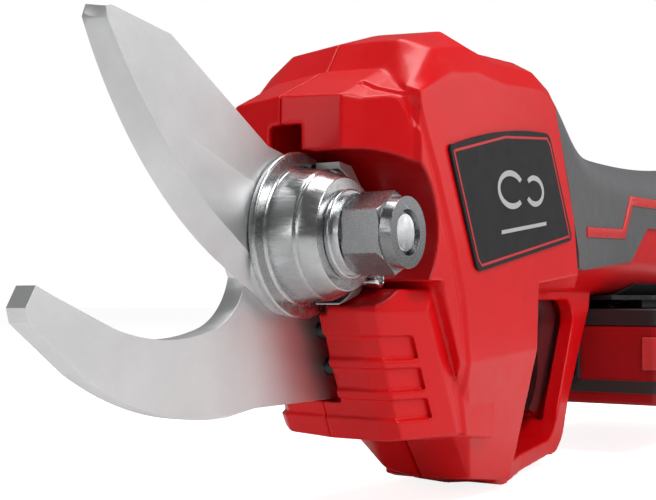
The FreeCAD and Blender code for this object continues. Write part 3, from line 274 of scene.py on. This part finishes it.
NODE_MATERIALS = {
    "blade": ("cutting_blade",),
    "hook": ("hook_blade",),
    "hub": ("clamp_hub", "flat_washer"),
    "turned": ("pivot_bolt", "locking_screw", "motor_shaft", "motor_bearings", "pinion_bearing",
               "trigger_pin"),
    "zinc": ("spring_washer", "sector_rivets", "trigger_spring"),
    "nut": ("lock_nut",),
    "bronze": ("pivot_bush",),
    "gear": ("gear_sector", "drive_pinion", "planet_gear_1", "planet_gear_2", "planet_gear_3", "planet_carrier",
             "sun_gear", "ring_gear"),
    "cast": ("gearbox_housing", "motor_plate", "locking_plate"),
    "black_metal": ("motor_can", "motor_rotor", "housing_screws", "hook_screws"),
    "copper": ("motor_winding", "tool_terminals"),
    "red": ("left_housing", "right_housing"),
    "rubber": ("grip_left", "grip_right"),
    "inlay_red": ("grip_inlay_left", "grip_inlay_right"),
    "label": ("side_plate_left", "side_plate_right"),
    "gloss_black": ("trigger",),
    "black": ("trigger_sensor", "board_parts", "button_collar", "switch_block", "battery_shoe",
              "battery_upper_case", "release_frame"),
    "grey": ("power_button", "release_button"),
    "board": ("control_board",),
    "battery_red": ("battery_lower_case",),
    "band": ("battery_band",),
    "cell": ("battery_cells",),
    "pad_red": ("battery_pad_left", "battery_pad_right"),
}


def paint(piece, material):
    piece.data.materials.clear()
    piece.data.materials.append(MATERIALS[material])


for material, names in NODE_MATERIALS.items():
    for name in names:
        paint(NODES[name], material)


# ================================================================ mesh helpers
def modifier(piece, kind, **settings):
    item = piece.modifiers.new(kind.lower(), kind)
    for name, value in settings.items():
        setattr(item, name, value)
    return item


def baked(piece):
    """Applies every modifier of a piece to its mesh."""
    graph = bpy.context.evaluated_depsgraph_get()
    mesh = bpy.data.meshes.new_from_object(piece.evaluated_get(graph))
    piece.modifiers.clear()
    piece.data = mesh
    return piece


def copy_of(node, name):
    """A new piece with a CAD node's mesh, its doubled points welded."""
    piece = bpy.data.objects.new(name, NODES[node].data.copy())
    bpy.context.scene.collection.objects.link(piece)
    mesh = bmesh.new()
    mesh.from_mesh(piece.data)
    bmesh.ops.remove_doubles(mesh, verts=mesh.verts, dist=0.002 * MM)
    mesh.to_mesh(piece.data)
    mesh.free()
    return piece


def rounded(node, width, segments=3, angle=28.0):
    """Rounds a CAD node's edges with a modifier, so its own mesh stays as packed."""
    piece = NODES[node]
    modifier(piece, "WELD", merge_threshold=0.002 * MM)
    modifier(piece, "DECIMATE", decimate_type="DISSOLVE", angle_limit=math.radians(0.6))
    modifier(piece, "BEVEL", width=width, segments=segments, limit_method="ANGLE",
             angle_limit=math.radians(angle), harden_normals=True, use_clamp_overlap=True)
    return piece


def moulded(node, name, voxel, passes):
    """A moulded piece in place of a CAD node: the same shape with softly rounded edges."""
    piece = copy_of(node, name)
    modifier(piece, "REMESH", mode="VOXEL", voxel_size=voxel, use_smooth_shade=True)
    modifier(piece, "SMOOTH", factor=0.5, iterations=passes)
    baked(piece)
    piece.data.shade_smooth()
    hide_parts(node)
    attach(piece, [b for b, names in frame["record"]["behaviour"]["bodies"].items() if node in names][0])
    return piece


ROUNDED = {
    "cutting_blade": 0.05, "hook_blade": 1.1, "clamp_hub": 0.45, "lock_nut": 0.35, "flat_washer": 0.15,
    "pivot_bolt": 0.25, "locking_plate": 0.3, "locking_screw": 0.25, "hook_screws": 0.2, "housing_screws": 0.2,
    "side_plate_left": 0.25, "side_plate_right": 0.25, "power_button": 0.5, "button_collar": 0.3,
    "release_button": 0.4, "release_frame": 0.4, "battery_upper_case": 1.2, "battery_lower_case": 1.2,
    "battery_band": 0.5, "battery_pad_left": 0.4, "battery_pad_right": 0.4, "battery_shoe": 0.6,
    "grip_inlay_left": 0.3, "grip_inlay_right": 0.3,
}
for node, width in ROUNDED.items():
    rounded(node, width * MM)


# ================================================================ casing
for side, node in (("left", "left_housing"), ("right", "right_housing")):
    shell = moulded(node, "shell_" + side, 0.45 * MM, 3)
    paint(shell, "red")


def soften(piece, centre, reach, passes):
    """Blends the facets of a shell round one point, such as where brow and shoulder meet."""
    group = piece.vertex_groups.new(name="soft")
    for vertex in piece.data.vertices:
        gap = (vertex.co / MM - Vector(centre)).length / reach
        if gap < 1.0:
            group.add([vertex.index], 1.0 - gap * gap, "REPLACE")
    modifier(piece, "SMOOTH", factor=0.5, iterations=passes, vertex_group="soft")
    baked(piece)
    piece.vertex_groups.clear()


soften(bpy.data.objects["shell_left"], (25.0, -22.0, 41.0), 13.0, 60)
soften(bpy.data.objects["shell_right"], (28.0, 27.0, 39.0), 13.0, 60)
for shell in ("shell_left", "shell_right"):
    soften(bpy.data.objects[shell], (60.0, 4.0, -60.0), 17.0, 70)

# The stepped seam between nose and body: a line of (X, Z) in mm with half its width and its depth
SEAM = [(9.0, 37.0, 0.9), (14.6, 25.0, 0.9), (20.7, 15.0, 1.0), (29.8, -3.0, 1.1), (34.5, -14.5, 1.2),
        (37.0, -31.0, 1.4), (41.0, -48.0, 1.5)]
SEAM_DEPTH = 0.75


def seam_gap(x, z):
    """How far (x, z) in mm is from the seam's line, as a share of its half width."""
    best = 9.0
    for (x0, z0, w0), (x1, z1, w1) in zip(SEAM, SEAM[1:]):
        run = (x1 - x0) ** 2 + (z1 - z0) ** 2
        share = min(1.0, max(0.0, ((x - x0) * (x1 - x0) + (z - z0) * (z1 - z0)) / run))
        gap = math.hypot(x - x0 - share * (x1 - x0), z - z0 - share * (z1 - z0))
        best = min(best, gap / (w0 + share * (w1 - w0)))
    return best


def press_seam(piece):
    """Pushes the seam's groove into a shell's outer skin."""
    for vertex, normal in zip(piece.data.vertices, [v.normal.copy() for v in piece.data.vertices]):
        place = vertex.co / MM
        if not 5.0 < place.x < 46.0 or abs(place.y - MID / MM) < 13.0:
            continue
        outward = normal.y * (1.0 if place.y > MID / MM else -1.0)
        if outward < 0.25:
            continue
        share = seam_gap(place.x, place.z)
        if share < 1.6:
            fall = 1.0 if share < 0.7 else max(0.0, (1.6 - share) / 0.9)
            fall = fall * fall * (3.0 - 2.0 * fall)
            vertex.co -= normal * (SEAM_DEPTH * fall * MM)
    piece.data.update()


for side in ("left", "right"):
    press_seam(bpy.data.objects["shell_" + side])


# ================================================================ side label
PLATE = [(28.6, 22.2), (57.0, 28.6), (84.4, 31.3), (88.0, 29.0), (102.9, 3.6), (101.4, 2.4), (43.6, -7.4),
         (40.2, -5.2), (27.0, 20.2)]
CENTRE = (sum(x for x, z in PLATE) / len(PLATE), sum(z for x, z in PLATE) / len(PLATE))


def raised(name, loops, level, side, thickness=0.12):
    """A thin raised mark on a side plate, from closed (X, Z) loops in mm, each (outer, inner or None)."""
    mesh = bmesh.new()
    out = -1.0 if side == "left" else 1.0
    for outer, inner in loops:
        rings = []
        for points in (outer, inner) if inner else (outer,):
            rings.append([[mesh.verts.new(Vector((x, level + out * up, z)) * MM) for x, z in points]
                          for up in (0.0, thickness)])
        if inner:
            (outer_low, outer_top), (inner_low, inner_top) = rings
            count = len(outer)
            for i in range(count):
                j = (i + 1) % count
                mesh.faces.new((outer_top[i], outer_top[j], inner_top[j], inner_top[i]))
                mesh.faces.new((outer_low[i], outer_low[j], outer_top[j], outer_top[i]))
                mesh.faces.new((inner_low[i], inner_low[j], inner_top[j], inner_top[i]))
                mesh.faces.new((outer_low[i], outer_low[j], inner_low[j], inner_low[i]))
        else:
            (low, top), = rings
            mesh.faces.new(top)
            mesh.faces.new(low)
            for i in range(len(outer)):
                j = (i + 1) % len(outer)
                mesh.faces.new((low[i], low[j], top[j], top[i]))
    bmesh.ops.recalc_face_normals(mesh, faces=mesh.faces)
    data = bpy.data.meshes.new(name)
    mesh.to_mesh(data)
    mesh.free()
    piece = bpy.data.objects.new(name, data)
    bpy.context.scene.collection.objects.link(piece)
    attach(piece, "frame")
    return piece


def inset(points, gap):
    """The outline moved inwards by a gap, along the line to its centre."""
    moved = []
    for i, (x, z) in enumerate(points):
        (xa, za), (xb, zb) = points[i - 1], points[(i + 1) % len(points)]
        dx, dz = xb - xa, zb - za
        length = math.hypot(dx, dz)
        nx, nz = dz / length, -dx / length
        if (CENTRE[0] - x) * nx + (CENTRE[1] - z) * nz < 0.0:
            nx, nz = -nx, -nz
        moved.append((x + nx * gap, z + nz * gap))
    return moved


def arc_strip(centre, radii, width, start, stop, steps=18):
    """A closed loop round part of an ellipse: its outer edge, then its inner edge back."""
    angles = [math.radians(start + (stop - start) * i / steps) for i in range(steps + 1)]
    outer = [(centre[0] + radii[0] * math.cos(a), centre[1] + radii[1] * math.sin(a)) for a in angles]
    inner = [(centre[0] + (radii[0] - width) * math.cos(a), centre[1] + (radii[1] - width) * math.sin(a))
             for a in angles]
    return outer + inner[::-1]


for side, node in (("left", "side_plate_left"), ("right", "side_plate_right")):
    low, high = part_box(node)
    face = (low.y if side == "left" else high.y) / MM
    inner_level = face + (0.05 if side == "left" else -0.05)
    line = raised("label_line_" + side, [(inset(PLATE, 1.1), inset(PLATE, 1.75))], inner_level, side)
    paint(line, "line_red")
    marks = [(arc_strip((61.0, 14.0), (8.4, 5.0), 1.5, 40.0, 320.0), None),
             (arc_strip((76.0, 14.8), (6.4, 4.2), 1.4, 220.0, 500.0), None),
             ([(55.0, 2.2), (84.0, 6.0), (84.0, 7.0), (55.0, 3.2)], None)]
    mark = raised("label_mark_" + side, marks, inner_level, side)
    paint(mark, "mark_grey")


# ================================================================ stage
def make_stage():
    low = CAD_BOX[0].z - 0.5 * MM
    mesh = bpy.data.meshes.new("floor")
    half = 6.0
    mesh.from_pydata([(-half, -half, low), (half, -half, low), (half, half, low), (-half, half, low)],
                     [], [(0, 1, 2, 3)])
    floor = bpy.data.objects.new("floor", mesh)
    bpy.context.scene.collection.objects.link(floor)
    n = Nodes("pale_floor")
    n.link(n.blend(n.noise(3.0), (0.86, 0.86, 0.86), (0.89, 0.89, 0.89)), n.shader.inputs["Base Color"])
    n.put("Roughness", 0.6)
    n.put("Emission Color", (1.0, 1.0, 1.0, 1.0))
    n.link(n.spread(n.add("ShaderNodeLightPath").outputs["Is Camera Ray"], 0.0, 1.0, 0.0, 0.86),
           n.shader.inputs["Emission Strength"])
    floor.data.materials.append(n.material)


def area_light(name, place, target, width, height, power, colour=(1.0, 1.0, 1.0)):
    data = bpy.data.lights.new(name, "AREA")
    data.shape = "RECTANGLE"
    data.size = width
    data.size_y = height
    data.energy = power
    data.color = colour
    light = bpy.data.objects.new(name, data)
    bpy.context.scene.collection.objects.link(light)
    light.location = place
    light.rotation_euler = (Vector(target) - Vector(place)).to_track_quat("-Z", "Y").to_euler()
    return light


def make_world():
    """White behind the object for the camera, and a dimmer white as the light all round."""
    world = bpy.data.worlds.new("studio")
    world.use_nodes = True
    tree = world.node_tree
    soft = tree.nodes["Background"]
    soft.inputs["Color"].default_value = (1.0, 1.0, 1.0, 1.0)
    soft.inputs["Strength"].default_value = 0.12
    seen = tree.nodes.new("ShaderNodeBackground")
    seen.inputs["Color"].default_value = (1.0, 1.0, 1.0, 1.0)
    seen.inputs["Strength"].default_value = 1.0
    pick = tree.nodes.new("ShaderNodeMixShader")
    rays = tree.nodes.new("ShaderNodeLightPath")
    tree.links.new(rays.outputs["Is Camera Ray"], pick.inputs["Fac"])
    tree.links.new(soft.outputs["Background"], pick.inputs[1])
    tree.links.new(seen.outputs["Background"], pick.inputs[2])
    tree.links.new(pick.outputs["Shader"], tree.nodes["World Output"].inputs["Surface"])
    bpy.context.scene.world = world
    bpy.context.scene.view_settings.view_transform = "Standard"


def make_lights():
    head = (0.04, -0.01, 0.0)
    area_light("key", (-0.10, -0.60, 0.62), head, 0.40, 0.35, 4.0)
    area_light("top", (0.15, 0.05, 0.85), head, 0.5, 0.40, 4.6)
    area_light("front", (-0.70, 0.25, 0.25), head, 0.25, 0.5, 1.1)
    area_light("blade_glow", (0.80, -0.75, 0.35), (-0.03, 0.0, 0.0), 0.8, 0.6, 2.1)


CAMERA_PLACE = Vector((-225.2, -157.1, -14.5)) * MM
CAMERA_LOOK = Vector((0.8396, 0.5432, 0.0))
LENS_MM = 65.85
HORIZON_SHIFT = 0.0762


def make_camera():
    data = bpy.data.cameras.new("camera")
    data.lens = LENS_MM
    data.sensor_width = 36.0
    data.shift_y = HORIZON_SHIFT
    data.clip_start = 0.01
    camera = bpy.data.objects.new("camera", data)
    bpy.context.scene.collection.objects.link(camera)
    camera.location = CAMERA_PLACE
    camera.rotation_euler = CAMERA_LOOK.to_track_quat("-Z", "Y").to_euler()
    bpy.context.scene.camera = camera


make_stage()
make_world()
make_lights()
make_camera()
